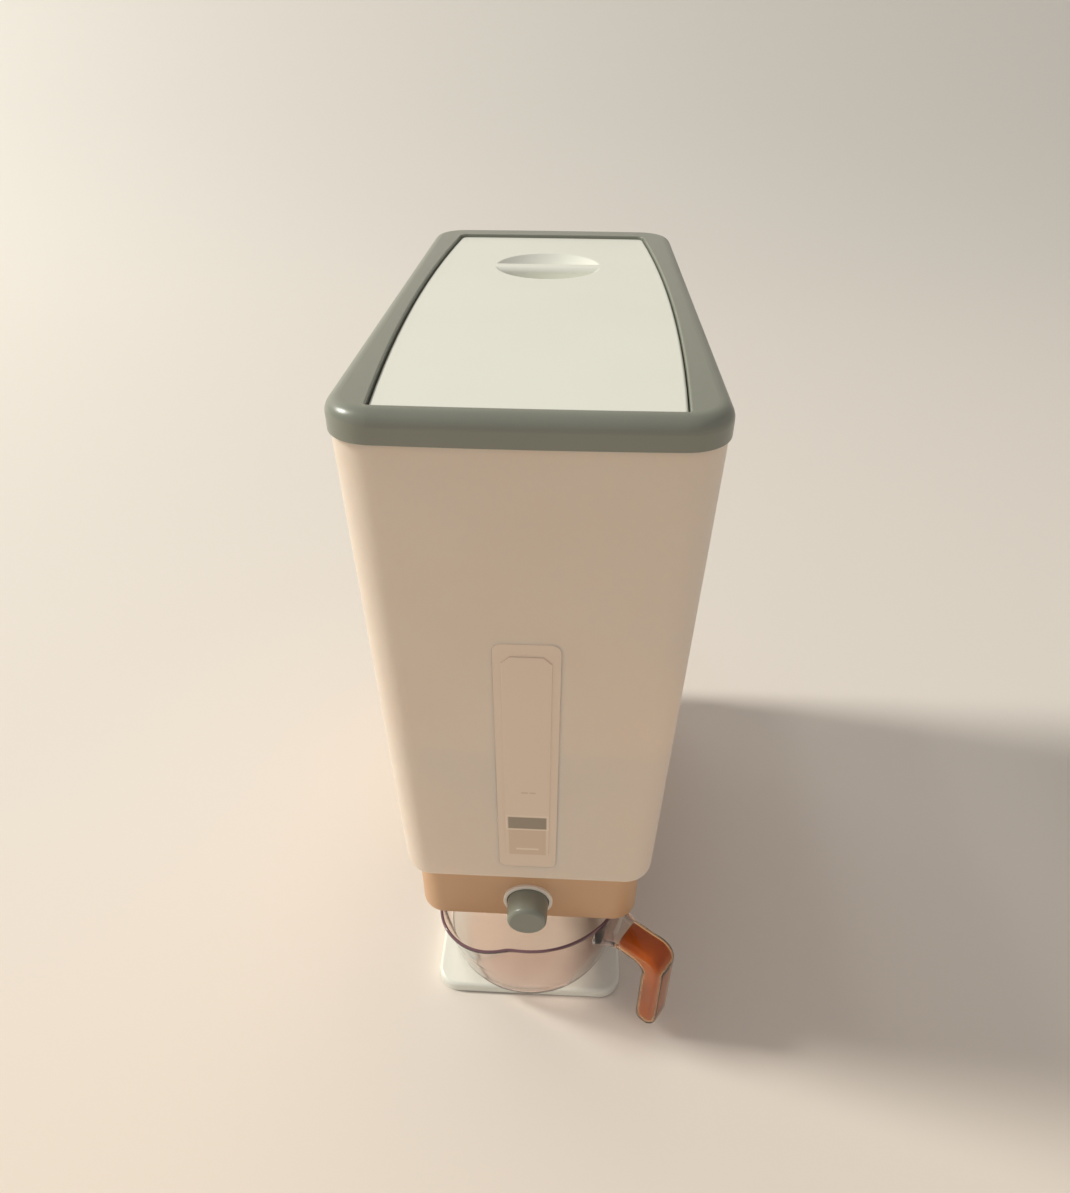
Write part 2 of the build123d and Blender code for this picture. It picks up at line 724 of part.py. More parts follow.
def make_push_button():
    """Hollow grey button with a slight draft, and a flange that keeps it in the bezel."""
    y0 = housing_front
    front = y0 - button_length
    profile = Polyline(
        (0, front), (button_end_radius, front), (button_base_radius, y0), (button_base_radius, barrel_back),
        (flange_radius, barrel_back), (flange_radius, flange_back),
        (button_base_radius - button_wall, flange_back), (button_base_radius - button_wall, y0),
        (button_end_radius - button_wall, front + button_face), (0, front + button_face), close=True)
    body = revolve(make_face(profile), Axis.Y)
    rim = body.edges().filter_by(GeomType.CIRCLE).sort_by(Axis.Y)[0]
    body = fillet(rim, button_end_edge)
    body = Pos(0, 0, button_z) * body
    for side in (-1, 1):
        bore_depth = flange_thickness + tab_bore_extra
        bore = extrude(Circle(small_screw + screw_fit), bore_depth)
        body -= along_y(bore, side * tab_screw_x, flange_back - bore_depth, button_z)
    return body


tab_screw_x = (button_base_radius - button_wall + flange_radius) / 2


def make_button_bezel():
    """Ring round the button, its sleeve through the housing's wall."""
    sleeve_back = barrel_back - flange_gap
    collar = extrude(Circle(bezel_radius), bezel_proud)
    collar = fillet(collar.faces().sort_by(Axis.Z)[0].edges(), bezel_edge)
    length = bezel_proud + sleeve_back - housing_front
    ring = collar + extrude(Circle(bezel_sleeve), length) - extrude(Circle(bezel_bore), length)
    return along_y(ring, 0, housing_front - bezel_proud, button_z)


def make_shutter_gate():
    """Sliding shutter: a plate with the window that meets the slot, and a tab on the button's flange."""
    tab_front = flange_back
    length = gate_back - tab_front
    body = Pos(0, tab_front + length / 2, gate_bottom + gate_thickness / 2) * Box(gate_width, length,
                                                                                  gate_thickness)
    opening = Pos(0, gate_window_back - gate_window / 2, gate_bottom + gate_thickness / 2) * Box(
        throat_slot[0], gate_window, 2 * gate_thickness)
    tab_bottom = floor_top + gate_tab_foot_gap
    tab = Pos(0, tab_front + gate_tab_thickness / 2, (tab_bottom + gate_bottom) / 2) * Box(
        gate_tab_width, gate_tab_thickness, gate_bottom - tab_bottom)
    body = body - opening + tab
    body -= along_y(extrude(Circle(gate_tab_hole), gate_tab_thickness), 0, tab_front, button_z)
    head = small_screw * head_height_ratio
    for side in (-1, 1):
        x = side * tab_screw_x
        body -= along_y(extrude(Circle(small_screw + screw_fit), gate_tab_thickness), x, tab_front, button_z)
        pocket = extrude(Circle(small_screw * head_ratio + gate_head_gap), head)
        body -= along_y(pocket, x, tab_back - head, button_z)
    return body


def make_gate_screws():
    """Two screws that hold the shutter's tab on the button's flange."""
    body = screw(small_screw, gate_tab_thickness - small_screw * head_height_ratio + flange_thickness)
    return [Pos(side * tab_screw_x, tab_back, button_z) * Rot(90, 0, 0) * body for side in (-1, 1)]


def make_gate_guide(side):
    """Rail with a groove for one edge of the shutter; side is -1 for the left and 1 for the right."""
    front = flange_back - guide_lead
    length = guide_back - front
    top = gate_top + gate_edge_gap + guide_lip
    x = side * (guide_x + guide_width / 2)
    body = Pos(x, front + length / 2, (floor_top + top) / 2) * Box(guide_width, length, top - floor_top)
    groove_depth = guide_engage + gate_edge_gap
    groove = Box(groove_depth, length, gate_thickness + 2 * gate_edge_gap)
    groove = Pos(side * (guide_x + groove_depth / 2), front + length / 2,
                 gate_bottom + gate_thickness / 2) * groove
    body -= groove
    places = [place for place in guide_screw_places if place[0] * side > 0]
    bore_top = housing_bottom + guide_screw_length + bore_spare
    return without_all(body, drill(small_screw, places, floor_top, bore_top))


def make_spring_bracket():
    """Cross wall behind the button with the boss that seats the spring."""
    width = 2 * (guide_x - bracket_side_gap)
    top = gate_bottom - bracket_top_gap
    body = Pos(0, bracket_front + bracket_thickness / 2, (floor_top + top) / 2) * Box(
        width, bracket_thickness, top - floor_top)
    body += along_y(extrude(Circle(boss_radius), boss_length), 0, bracket_front - boss_length, button_z)
    bore_top = housing_bottom + guide_screw_length + bore_spare
    return without_all(body, drill(small_screw, bracket_screw_places, floor_top, bore_top))


spring_front = housing_front - button_length + button_face + spring_end_gap
spring_back = bracket_front - spring_end_gap


def make_return_spring():
    """Coil spring between the button's face and the bracket, as one unbroken helix of round wire."""
    height = spring_back - spring_front - spring_wire
    pitch = height / spring_turns
    path = Helix(pitch=pitch, height=height, radius=spring_radius)
    section = Plane(origin=path @ 0, z_dir=path % 0) * Circle(spring_wire / 2)
    coil = sweep(section, path=path, is_frenet=True)
    gap = pitch - spring_wire
    print(f"return spring: {spring_turns} turns, pitch {pitch:.2f}, gap between turns {gap:.2f}, "
          f"volume {coil.volume:.1f} of {pi * (spring_wire / 2) ** 2 * path.length:.1f}")
    return along_y(coil, 0, spring_front + spring_wire / 2, button_z)


def make_outlet_spout():
    """Short chute from the shutter down through the housing's floor."""
    high, low = gate_bottom - gate_top_gap, housing_bottom - spout_drop
    body = duct(spout_end, low, spout_top, high, spout_y, spout_y, spout_corner, spout_corner)
    body += plate(*spout_flange, spout_corner, spout_flange_thickness, floor_top,
                  y=spout_y + spout_flange_back)
    inner = [tuple(size - 2 * spout_wall for size in sizes) for sizes in (spout_end, spout_top)]
    corner = spout_corner - spout_wall / 2
    return body - duct(inner[0], low, inner[1], high, spout_y, spout_y, corner, corner)


# ---------------------------------------------------------------- column and base
column_y = column_front + column_length / 2
base_y = base_front + base_length / 2
cover_top = base_bottom + cover_thickness


def make_stand_column():
    """Hollow column behind the bay that carries the housing."""
    height = housing_bottom - base_top
    body = plate(column_width, column_length, column_corner, height, base_top, y=column_y)
    body -= plate(column_width - 2 * column_wall, column_length - 2 * column_wall,
                  column_corner - column_wall, height - column_wall, base_top, y=column_y)
    bosses = [disc(large_boss, column_boss_height, base_top, x, y) for x, y in base_screw_places]
    body = with_all(body, bosses)
    bore_top = base_top + column_boss_height - boss_web
    body = without_all(body, drill(large_screw, base_screw_places, base_top, bore_top))
    return without_all(body, drill(large_screw, column_screw_places, housing_bottom - column_wall,
                                   housing_bottom))


def make_base_plate():
    """White base, hollow underneath, with pads where the column's screws pass."""
    body = plate(base_width, base_length, base_corner, base_thickness, base_bottom, y=base_y)
    body = fillet(body.faces().sort_by(Axis.Z)[-1].edges(), base_edge)
    body -= plate(base_width - 2 * base_wall, base_length - 2 * base_wall, base_corner - base_wall,
                  base_thickness - base_web, base_bottom, y=base_y)
    pads = [disc(large_boss + pad_margin, base_top - base_web - cover_top, cover_top, x, y)
            for x, y in base_screw_places]
    body = with_all(body, pads)
    return without_all(body, drill(large_screw, base_screw_places, cover_top, base_top))


def make_base_cover():
    """Plate that closes the base from below, with recesses for the foot strips."""
    inset = 2 * (base_wall + cover_fit)
    body = plate(base_width - inset, base_length - inset, base_corner - inset / 2, cover_thickness,
                 base_bottom, y=base_y)
    for y in foot_strip_y:
        body -= plate(strip_size[0] + 2 * strip_fit, strip_size[1] + 2 * strip_fit, strip_size[1] / 2,
                      strip_recess, base_bottom, y=y)
    head = large_screw * head_height_ratio
    body = without_all(body, head_pockets(large_screw, base_screw_places, cover_top, cover_thickness))
    return body


def make_foot_strips():
    return [plate(*strip_size, strip_size[1] / 2, foot_rise + strip_recess, 0.0, y=y) for y in foot_strip_y]


# ---------------------------------------------------------------- measuring cup
cup_bottom = base_top + cup_stand_gap
cup_rim = cup_bottom + cup_height


def cup_block(shrink=0.0, floor=0.0, extra=0.0):
    """Solid of revolution inside the cup's outer face, grown upwards by extra."""
    foot = cup_foot_radius - shrink / 2
    wall_foot = cup_foot_radius + cup_heel - shrink
    heel = cup_heel
    z0 = cup_bottom + floor
    rim = cup_rim_radius - shrink
    belly_z = cup_bottom + (cup_heel + cup_height) / 2
    heel_middle = (foot + (wall_foot - foot) * sin(pi / 4), z0 + (heel - floor) * (1 - cos(pi / 4)))
    lines = [
        Line((0, z0), (foot, z0)),
        ThreePointArc((foot, z0), heel_middle, (wall_foot, cup_bottom + heel)),
        ThreePointArc((wall_foot, cup_bottom + heel), (cup_belly - shrink, belly_z), (rim, cup_rim)),
        Line((rim, cup_rim), (rim, cup_rim + extra)) if extra else None,
        Line((rim, cup_rim + extra), (0, cup_rim + extra)),
        Line((0, cup_rim + extra), (0, z0)),
    ]
    section = make_face([line for line in lines if line is not None])
    body = revolve(Plane.XZ * section, Axis.Z)
    lip_centre = cup_rim_radius + lip_reach - lip_radius
    low_centre = cup_belly - lip_foot_radius - lip_foot_inset
    a = radians(lip_angle)
    low_place = Pos(low_centre * cos(a), low_centre * sin(a), cup_rim - lip_drop + shrink)
    high_place = Pos(lip_centre * cos(a), lip_centre * sin(a), cup_rim)
    low = low_place * Circle(lip_foot_radius - shrink)
    high = high_place * Circle(lip_radius - shrink)
    body += loft([low, high], ruled=True)
    if extra:
        body += high_place * extrude(Circle(lip_radius - shrink), extra)
    return body


def handle_profile(shrink=0.0, start=0.0, break_out=0.0):
    """Side view of the handle: an arm outwards, then a grip straight down, in (reach, height).

    Its outer, upper and lower sides are set in by shrink; its inner side is moved out by break_out."""
    top = cup_rim - arm_below_rim
    outer, inner = handle_reach - shrink, handle_reach - grip_depth - break_out
    under = top - arm_height - break_out
    low = grip_end_height + shrink
    points = [(start, top - shrink), (outer, top - shrink), (outer, low), (inner, low), (inner, under),
              (start, under)]
    face = make_face(Polyline(*points, close=True))
    face = fillet(face.vertices().sort_by_distance(points[1])[0], handle_outer_bend - shrink)
    face = fillet(face.vertices().sort_by_distance(points[4])[0], handle_inner_bend + break_out)
    ends = [face.vertices().sort_by_distance(points[i])[0] for i in (2, 3)]
    return fillet(ends, grip_end_edge - shrink)


def handle_solid(face, width, edge):
    """Side view extruded to both sides of the handle's middle plane, its side edges rounded."""
    solid = extrude(Plane.XZ * face, width / 2, both=True)
    start = solid.vertices().group_by(Axis.X)[0][0].X
    flat = [e for e in solid.edges() if abs(abs(e.center().Y) - width / 2) < 0.01]
    sides = [e for e in flat if e.center().X > start + 0.01]
    return fillet(sides, edge)


def root_outline(inset=0.0):
    """Plan of the handle's root, which widens towards the cup."""
    near, far = cup_rim_radius - root_overlap, root_reach - inset
    wide, narrow = root_half_width - inset, handle_width / 2 - inset
    return make_face(Polyline((near, -wide), (far, -narrow), (far, narrow), (near, wide), close=True))


def make_measuring_cup():
    """Clear cup with a pouring lip, and the clear skin of its handle."""
    arm_bottom = cup_rim - arm_below_rim - arm_height
    root = Pos(0, 0, arm_bottom) * extrude(root_outline(), arm_height)
    root -= Pos(0, 0, arm_bottom) * extrude(root_outline(root_wall), arm_height - root_wall)
    skin = handle_solid(handle_profile(start=root_reach - root_wall), handle_width, handle_edge)
    hollow = handle_profile(handle_skin, insert_start, insert_break_out)
    skin -= handle_solid(hollow, handle_width - 2 * handle_skin, handle_edge - handle_skin)
    body = cup_block() + Rot(0, 0, handle_angle) * (root + skin)
    body -= cup_block(cup_wall, cup_wall, cup_cut_above)
    return Pos(0, cup_y, 0) * body


def make_cup_handle_insert():
    """Amber core inside the handle's clear skin, flush with it on the side that faces the cup."""
    margin = handle_skin + insert_fit
    core = handle_solid(handle_profile(margin, insert_start + insert_fit), handle_width - 2 * margin,
                        handle_edge - margin)
    return Pos(0, cup_y, 0) * Rot(0, 0, handle_angle) * core


def make_parts():
    """Every node by name; a list is a group of separate solids."""
    guides = guide_screw_places + bracket_screw_places
    return {
        "lid_frame": make_lid_frame(),
        "frame_seal": make_frame_seal(),
        "lid_panel": make_lid_panel(),
        "lid_gasket": make_lid_gasket(),
        "lid_hinge_pins": make_hinge_pins(),
        "container": make_container(),
        "sight_window": make_sight_window(),
        "level_slider": make_level_slider(),
        "level_band": make_level_band(),
        "hopper_floor": make_hopper_floor(),
        "outlet_throat": make_outlet_throat(),
        "throat_gasket": make_throat_gasket(),
        "container_screws": screw_set(medium_screw, hopper_screw_length, hopper_screw_places, deck_bottom),
        "dispenser_housing": make_dispenser_housing(),
        "housing_floor": make_housing_floor(),
        "floor_screws": screw_set(medium_screw, floor_screw_length - medium_screw * head_height_ratio,
                                  floor_screw_places, housing_bottom + medium_screw * head_height_ratio),
        "button_bezel": make_button_bezel(),
        "push_button": make_push_button(),
        "shutter_gate": make_shutter_gate(),
        "gate_screws": make_gate_screws(),
        "gate_guide_left": make_gate_guide(-1),
        "gate_guide_right": make_gate_guide(1),
        "spring_bracket": make_spring_bracket(),
        "guide_screws": screw_set(small_screw, guide_screw_length - small_screw * head_height_ratio, guides,
                                  housing_bottom + small_screw * head_height_ratio),
        "return_spring": make_return_spring(),
        "outlet_spout": make_outlet_spout(),
        "stand_column": make_stand_column(),
        "column_screws": screw_set(large_screw, column_screw_length, column_screw_places,
                                   housing_bottom - column_wall),
        "base_plate": make_base_plate(),
        "base_cover": make_base_cover(),
        "base_screws": screw_set(large_screw, base_screw_length, base_screw_places, cover_top),
        "foot_strips": make_foot_strips(),
        "measuring_cup": make_measuring_cup(),
        "cup_handle_insert": make_cup_handle_insert(),
    }


def save(name, shape):
    """Write one node; a group is written as separate solids."""
    if isinstance(shape, list):
        shape = Compound(children=[solid for piece in shape for solid in piece.solids()])
    export_step(shape, f"parts/{name}.step")


os.makedirs("parts", exist_ok=True)
for node, shape in make_parts().items():
    save(node, shape)
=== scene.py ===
# %% [markdown]
# # A push-button rice dispenser
# A tall milky hopper with a grey-rimmed flip lid stands on a housing with a push button. A clear
# measuring cup waits in the open bay below. The CAD model already has every part at its real size,
# so this script gives the parts their finishes, makes the pieces that the eye rests on again with
# finer meshes, and sets up the camera and the light.
# The CAD model is loaded first and never moved. All lengths in Blender are metres, so values
# written in millimetres are multiplied by MM.

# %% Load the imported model
from math import cos, hypot, pi, radians, sin, sqrt

import bmesh
import bpy
from mathutils import Matrix, Vector


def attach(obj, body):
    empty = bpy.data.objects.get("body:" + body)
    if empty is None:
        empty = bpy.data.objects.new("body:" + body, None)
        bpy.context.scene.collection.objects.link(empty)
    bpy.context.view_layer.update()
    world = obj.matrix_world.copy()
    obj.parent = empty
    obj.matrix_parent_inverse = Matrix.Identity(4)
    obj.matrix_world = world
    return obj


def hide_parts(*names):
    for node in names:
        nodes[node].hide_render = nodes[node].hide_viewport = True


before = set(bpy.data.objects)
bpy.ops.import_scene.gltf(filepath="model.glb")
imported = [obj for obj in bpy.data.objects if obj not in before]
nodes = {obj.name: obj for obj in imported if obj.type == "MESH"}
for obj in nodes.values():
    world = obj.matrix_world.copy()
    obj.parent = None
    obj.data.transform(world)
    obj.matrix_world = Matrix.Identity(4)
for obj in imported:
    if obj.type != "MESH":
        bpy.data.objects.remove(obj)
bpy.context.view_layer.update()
MM = 0.001

# %% [markdown]
# ## Camera
# The photograph looks down at the front of the dispenser from a little over lid height, about
# 30 cm in front of it. A phone held that close gives strong perspective: the lid looks far larger
# than the base. The camera's place and tilt come from the vanishing points of the hopper's edges.

# %% Place the camera
CAMERA_PLACE = Vector((17.8, -465.4, 565.4)) * MM
LOOK_DOWN = 35.66
TURN_LEFT = 2.69
ROLL = 0.225
LENS = 24.14
SENSOR = 36.0

camera_data = bpy.data.cameras.new("camera")
camera_data.lens = LENS
camera_data.sensor_width = SENSOR
camera = bpy.data.objects.new("camera", camera_data)
camera.matrix_world = (
    Matrix.Translation(CAMERA_PLACE)
    @ Matrix.Rotation(radians(TURN_LEFT), 4, "Z")
    @ Matrix.Rotation(radians(90 - LOOK_DOWN), 4, "X")
    @ Matrix.Rotation(radians(ROLL), 4, "Z")
)
bpy.context.scene.collection.objects.link(camera)
bpy.context.scene.camera = camera
bpy.context.scene.view_settings.view_transform = "Standard"

# %% [markdown]
# ## Two small helpers for materials
# Colours are written as the hex values that a colour picker shows. Those are sRGB, while the
# shaders work in linear light, so one function turns them. A second one adds a node, sets it and
# links it, which keeps each material readable as a short list.


# %% Colour and node helpers
def linear(hex_code):
    """Linear RGBA of an sRGB hex colour such as 'D8CFC2'."""
    channels = [int(hex_code[i:i + 2], 16) / 255 for i in (0, 2, 4)]
    return [c / 12.92 if c <= 0.04045 else ((c + 0.055) / 1.055) ** 2.4 for c in channels] + [1.0]


def add(tree, kind, inputs=None, **settings):
    """Add a node. inputs maps a socket's name or number to a value or to another node's output."""
    made = tree.nodes.new(kind)
    for name, value in settings.items():
        setattr(made, name, value)
    for key, value in (inputs or {}).items():
        if isinstance(value, bpy.types.NodeSocket):
            tree.links.new(value, made.inputs[key])
        else:
            made.inputs[key].default_value = value
    return made


def start_material(name, **values):
    """New material with one Principled shader; values are its sockets, by name with _ for spaces."""
    made = bpy.data.materials.new(name)
    made.use_nodes = True
    tree = made.node_tree
    tree.nodes.clear()
    shader = add(tree, "ShaderNodeBsdfPrincipled", {k.replace("_", " "): v for k, v in values.items()})
    add(tree, "ShaderNodeOutputMaterial", {"Surface": shader.outputs["BSDF"]})
    return made, tree, shader


# %% [markdown]
# ## Moulded plastic
# Most of the parts are injection moulded. Their mould was spark eroded or blasted, which leaves a
# fine even grain, and the melt's flow leaves very slight changes of gloss. Two noises give both:
# a fine one for the grain goes to the bump, and a broad one shifts colour and roughness a little.
# The real grain is about 0.1 mm, too fine to show here, so most parts draw it at 0.5 mm.


# %% The grain shared by every moulded part
def moulded(name, light, dark, rough_low, rough_high, grain_mm, grain_depth_mm, cloud_mm=60.0, **values):
    """Plastic with a fine grain and faint clouds between two close colours."""
    made, tree, shader = start_material(name, **values)
    place = add(tree, "ShaderNodeTexCoord").outputs["Object"]
    cloud = add(tree, "ShaderNodeTexNoise", {"Vector": place, "Scale": 1 / (cloud_mm * MM), "Detail": 3.0})
    tint = add(tree, "ShaderNodeMix", {0: cloud.outputs["Fac"], 6: linear(dark), 7: linear(light)},
               data_type="RGBA")
    gloss = add(tree, "ShaderNodeMapRange", {"Value": cloud.outputs["Fac"], "To Min": rough_low,
                                             "To Max": rough_high})
    grain = add(tree, "ShaderNodeTexNoise", {"Vector": place, "Scale": 1 / (grain_mm * MM), "Detail": 2.0})
    bump = add(tree, "ShaderNodeBump", {"Height": grain.outputs["Fac"], "Distance": grain_depth_mm * MM})
    tree.links.new(tint.outputs[2], shader.inputs["Base Color"])
    tree.links.new(gloss.outputs["Result"], shader.inputs["Roughness"])
    tree.links.new(bump.outputs["Normal"], shader.inputs["Normal"])
    return made


def let_lamps_through(material, share, tint="FFFFFF"):
    """Clear and milky plastic pass lamplight on; a plain glass shader would cast a dark shadow instead."""
    tree = material.node_tree
    output = next(n for n in tree.nodes if n.type == "OUTPUT_MATERIAL")
    shader = next(n for n in tree.nodes if n.type == "BSDF_PRINCIPLED")
    path = add(tree, "ShaderNodeLightPath").outputs["Is Shadow Ray"]
    part = add(tree, "ShaderNodeMath", {0: path, 1: share}, operation="MULTIPLY")
    clear = add(tree, "ShaderNodeBsdfTransparent", {"Color": linear(tint)})
    mix = add(tree, "ShaderNodeMixShader", {0: part.outputs[0], 1: shader.outputs["BSDF"],
                                            2: clear.outputs["BSDF"]})
    tree.links.new(mix.outputs["Shader"], output.inputs["Surface"])


# %% [markdown]
# ## One finish for each slot
# Every slot of the record gets the plastic, rubber or steel that such a part is usually made of. The
# numbers after the two colours are the roughness range, then the grain's size and depth in mm.

# %% Finishes
FINISH = {
    # Satin ABS from a blasted mould: soft highlights that run along the rounded rim.
    "grey_plastic": moulded("grey_satin_abs", "8C8F83", "84877B", 0.26, 0.38, 0.5, 0.02, IOR=1.53),
    # The same in white: bright and even, with a faint sheen round the finger dish.
    "white_plastic": moulded("white_satin_abs", "F2F3E9", "EEEFE4", 0.26, 0.36, 0.5, 0.015, IOR=1.53),
    # Uncoloured polypropylene: light spreads inside the wall, which softens every shade on it.
    "milky_plastic": moulded("milky_polypropylene", "F6E5D6", "F1DECD", 0.42, 0.52, 0.5, 0.012, IOR=1.42,
                             Transmission_Weight=0.06, Subsurface_Weight=1.0,
                             Subsurface_Radius=(1.0, 0.85, 0.72), Subsurface_Scale=4 * MM),
    # Frosted: nearly the hopper's own tone, so that only its outline shows.
    "clear_plastic": moulded("frosted_polypropylene", "F2DECA", "EDD8C4", 0.40, 0.50, 0.5, 0.012, IOR=1.42),
    # Acetal slides well and looks dull and slightly creamy.
    "pale_plastic": moulded("pale_acetal", "F4ECDF", "EDE4D6", 0.40, 0.50, 0.5, 0.01, IOR=1.48),
    # Warm beige ABS with a broad, quiet highlight.
    "cream_plastic": moulded("beige_satin_abs", "D9AF87", "D2A77F", 0.35, 0.45, 0.5, 0.02, IOR=1.53),
    # Clear and polished: sharp reflections, and the plate shows through the wall.
    "clear_cup": moulded("clear_styrene_acrylonitrile", "F1E4DE", "ECDED9", 0.02, 0.05, 1.0, 0.003, IOR=1.4,
                         Transmission_Weight=1.0),
    # Tinted and partly clear: about a third of the light passes, so it glows instead of looking painted.
    "amber_plastic": moulded("amber_polycarbonate", "FFB35C", "F5A54B", 0.30, 0.40, 0.8, 0.01, IOR=1.4,
                             Transmission_Weight=0.35),
    # Soft and dull, without a clear highlight.
    "silicone": moulded("white_silicone", "E4E1DA", "DEDBD4", 0.50, 0.60, 0.4, 0.01, IOR=1.41),
    # Matt black, with a deeper grain than the plastics.
    "rubber": moulded("black_rubber", "3A3A3A", "303030", 0.70, 0.85, 0.4, 0.03, IOR=1.52),
    # Bright zinc: a metal with a slightly broken reflection.
    "steel": moulded("zinc_plated_steel", "C9CACC", "BFC0C3", 0.25, 0.38, 0.3, 0.005, Metallic=1.0),
    # Drawn through a die, so smoother than the plated screws.
    "spring_steel": moulded("drawn_spring_steel", "B9BBBE", "AFB1B5", 0.22, 0.32, 0.2, 0.004, Metallic=1.0),
}
let_lamps_through(FINISH["milky_plastic"], share=0.65)
let_lamps_through(FINISH["clear_plastic"], share=0.65)
let_lamps_through(FINISH["clear_cup"], share=0.78, tint="FEFCFB")
let_lamps_through(FINISH["amber_plastic"], share=0.6, tint="F6CF9E")
print("finishes:", len(FINISH))

# %% [markdown]
# ## Marks on the sight strip
# On the real strip the refill band and its slider are seen through frosted plastic. Rendered that way
# they came out too dark and cut off, so here the strip is opaque and both are drawn on its front, at
# the places of the CAD parts behind it. The slider is drawn darker than the strip with painted shade
# from the gap behind the pane, and a painted highlight lies along the top of its lip. Each mark is a
# mask between 0 and 1, built from the place on the strip, that mixes in a second colour. A soft edge
# of a third of a millimetre keeps it smooth.


# %% Masks
def step_up(tree, value, start, end):
    """0 below start, 1 above end, and a straight rise between them."""
    return add(tree, "ShaderNodeMapRange", {"Value": value, "From Min": start, "From Max": end}).outputs[0]


def combine(tree, operation, first, second=None):
    """One number from one or two others."""
    values = {0: first} if second is None else {0: first, 1: second}
    return add(tree, "ShaderNodeMath", values, operation=operation).outputs[0]


def place_axes(tree):
    """X, Y and Z of the place on the part."""
    place = add(tree, "ShaderNodeTexCoord").outputs["Object"]
    return add(tree, "ShaderNodeSeparateXYZ", {"Vector": place}).outputs


def box_mask(tree, half_width, bottom, top, edge=0.35):
    """1 inside a box on the front of the strip, in mm, with a thin soft edge."""
    axes = place_axes(tree)
    across = combine(tree, "ABSOLUTE", axes["X"])
    along = combine(tree, "ABSOLUTE", combine(tree, "SUBTRACT", axes["Z"], (top + bottom) / 2 * MM))
    sides = [step_up(tree, distance, (limit + edge) * MM, (limit - edge) * MM)
             for distance, limit in ((across, half_width), (along, (top - bottom) / 2))]
    return combine(tree, "MULTIPLY", *sides)


def mix_colour(material, mask, hex_code):
    """Mix one more colour over the material's present one where the mask says so."""
    tree = material.node_tree
    shader = next(n for n in tree.nodes if n.type == "BSDF_PRINCIPLED")
    present = shader.inputs["Base Color"].links[0].from_socket
    mixed = add(tree, "ShaderNodeMix", {0: mask, 6: present, 7: linear(hex_code)}, data_type="RGBA")
    tree.links.new(mixed.outputs[2], shader.inputs["Base Color"])


# %% Band, slider and dashes
BAND_HALF_WIDTH = 11.0
BAND_BOTTOM = 188.5
BAND_TOP = 198.5
FRAME_SIDE = 1.3
FRAME_BELOW = 1.2
FRAME_ABOVE = 1.7
SLIDER_HALF_WIDTH = 10.8
SLIDER_BOTTOM = 164.6
SLIDER_TOP = 187.6
# Painted highlight along the top of the slider's lip.
LIP_HIGHLIGHT_HALF_WIDTH = 6.6
LIP_HIGHLIGHT_BOTTOM = 169.2
LIP_HIGHLIGHT_TOP = 170.6
DASHES = ((-3.2, 0.4), (1.4, 4.6))
DASH_BOTTOM = 219.0
DASH_TOP = 220.0
DASH_ROW_HALF_WIDTH = 9.0
DASH_END = 0.2
DASH_EDGE = 0.3


def dash_mask(tree, left, right):
    """1 on one short dash between two places across the strip, in mm."""
    middle, half = (left + right) / 2, (right - left) / 2
    offset = combine(tree, "ABSOLUTE", combine(tree, "SUBTRACT", place_axes(tree)["X"], middle * MM))
    within = step_up(tree, offset, (half + DASH_END) * MM, half * MM)
    row = box_mask(tree, DASH_ROW_HALF_WIDTH, DASH_BOTTOM, DASH_TOP, DASH_EDGE)
    return combine(tree, "MULTIPLY", within, row)


strip = FINISH["clear_plastic"]
STRIP_MARKS = (
    # The slider's mark is darker than the strip: painted shade from the gap behind the pane.
    (SLIDER_HALF_WIDTH, SLIDER_BOTTOM, SLIDER_TOP, "E3CBB2"),
    (BAND_HALF_WIDTH + FRAME_SIDE, BAND_BOTTOM - FRAME_BELOW, BAND_TOP + FRAME_ABOVE, "F6E2CE"),
    (BAND_HALF_WIDTH, BAND_BOTTOM, BAND_TOP, "A49785"),
    # Painted highlight: a light line along the slider's lip.
    (LIP_HIGHLIGHT_HALF_WIDTH, LIP_HIGHLIGHT_BOTTOM, LIP_HIGHLIGHT_TOP, "F8E6D3"),
)
for half_width, bottom, top, colour in STRIP_MARKS:
    mix_colour(strip, box_mask(strip.node_tree, half_width, bottom, top), colour)
for left, right in DASHES:
    mix_colour(strip, dash_mask(strip.node_tree, left, right), "DCC3AA")
print("marks on the strip:", len(STRIP_MARKS) + len(DASHES))

# %% [markdown]
# ## Finishes onto the CAD parts
# Each CAD part comes with the name of its slot, which picks its finish. The level band and the ring
# round the button share a slot with other parts but have a colour of their own.

# %% Two parts with a colour of their own
dark_band = moulded("dark_grey_polystyrene", "5C5A55", "56544F", 0.35, 0.45, 0.5, 0.01, IOR=1.55)
pale_ring = moulded("ivory_satin_abs", "FBF3E6", "F6EDDE", 0.30, 0.40, 0.5, 0.015, IOR=1.53)

# %% Give every CAD part the finish of its slot
for part in nodes.values():
    slot_name = part.data.materials[0].name
    part.data.materials[0] = FINISH[slot_name]
nodes["level_band"].data.materials[0] = dark_band
nodes["button_bezel"].data.materials[0] = pale_ring

# %% [markdown]
# ## Rings joined into a closed skin
# The cup, its handle and the amber core are all shapes whose outline changes slowly along a path.
# Such a shape is a row of rings with the same number of points, joined by quads, with its two ends
# closed. Rings are easy to write as formulas, and the quads follow the form, so highlights run
# cleanly along it.


# %% Ring helpers
def rounded_ring(width, height, corner, steps=6):
    """Points round a rectangle with rounded corners, counter-clockwise, as (across, up) pairs."""
    corner = min(corner, 0.499 * min(width, height))
    points = []
    for quarter, (sx, sy) in enumerate(((1, 1), (-1, 1), (-1, -1), (1, -1))):
        cx, cy = sx * (width / 2 - corner), sy * (height / 2 - corner)
        for i in range(steps + 1):
            turn = pi / 2 * (quarter + i / steps)
            points.append((cx + corner * cos(turn), cy + corner * sin(turn)))
    return points


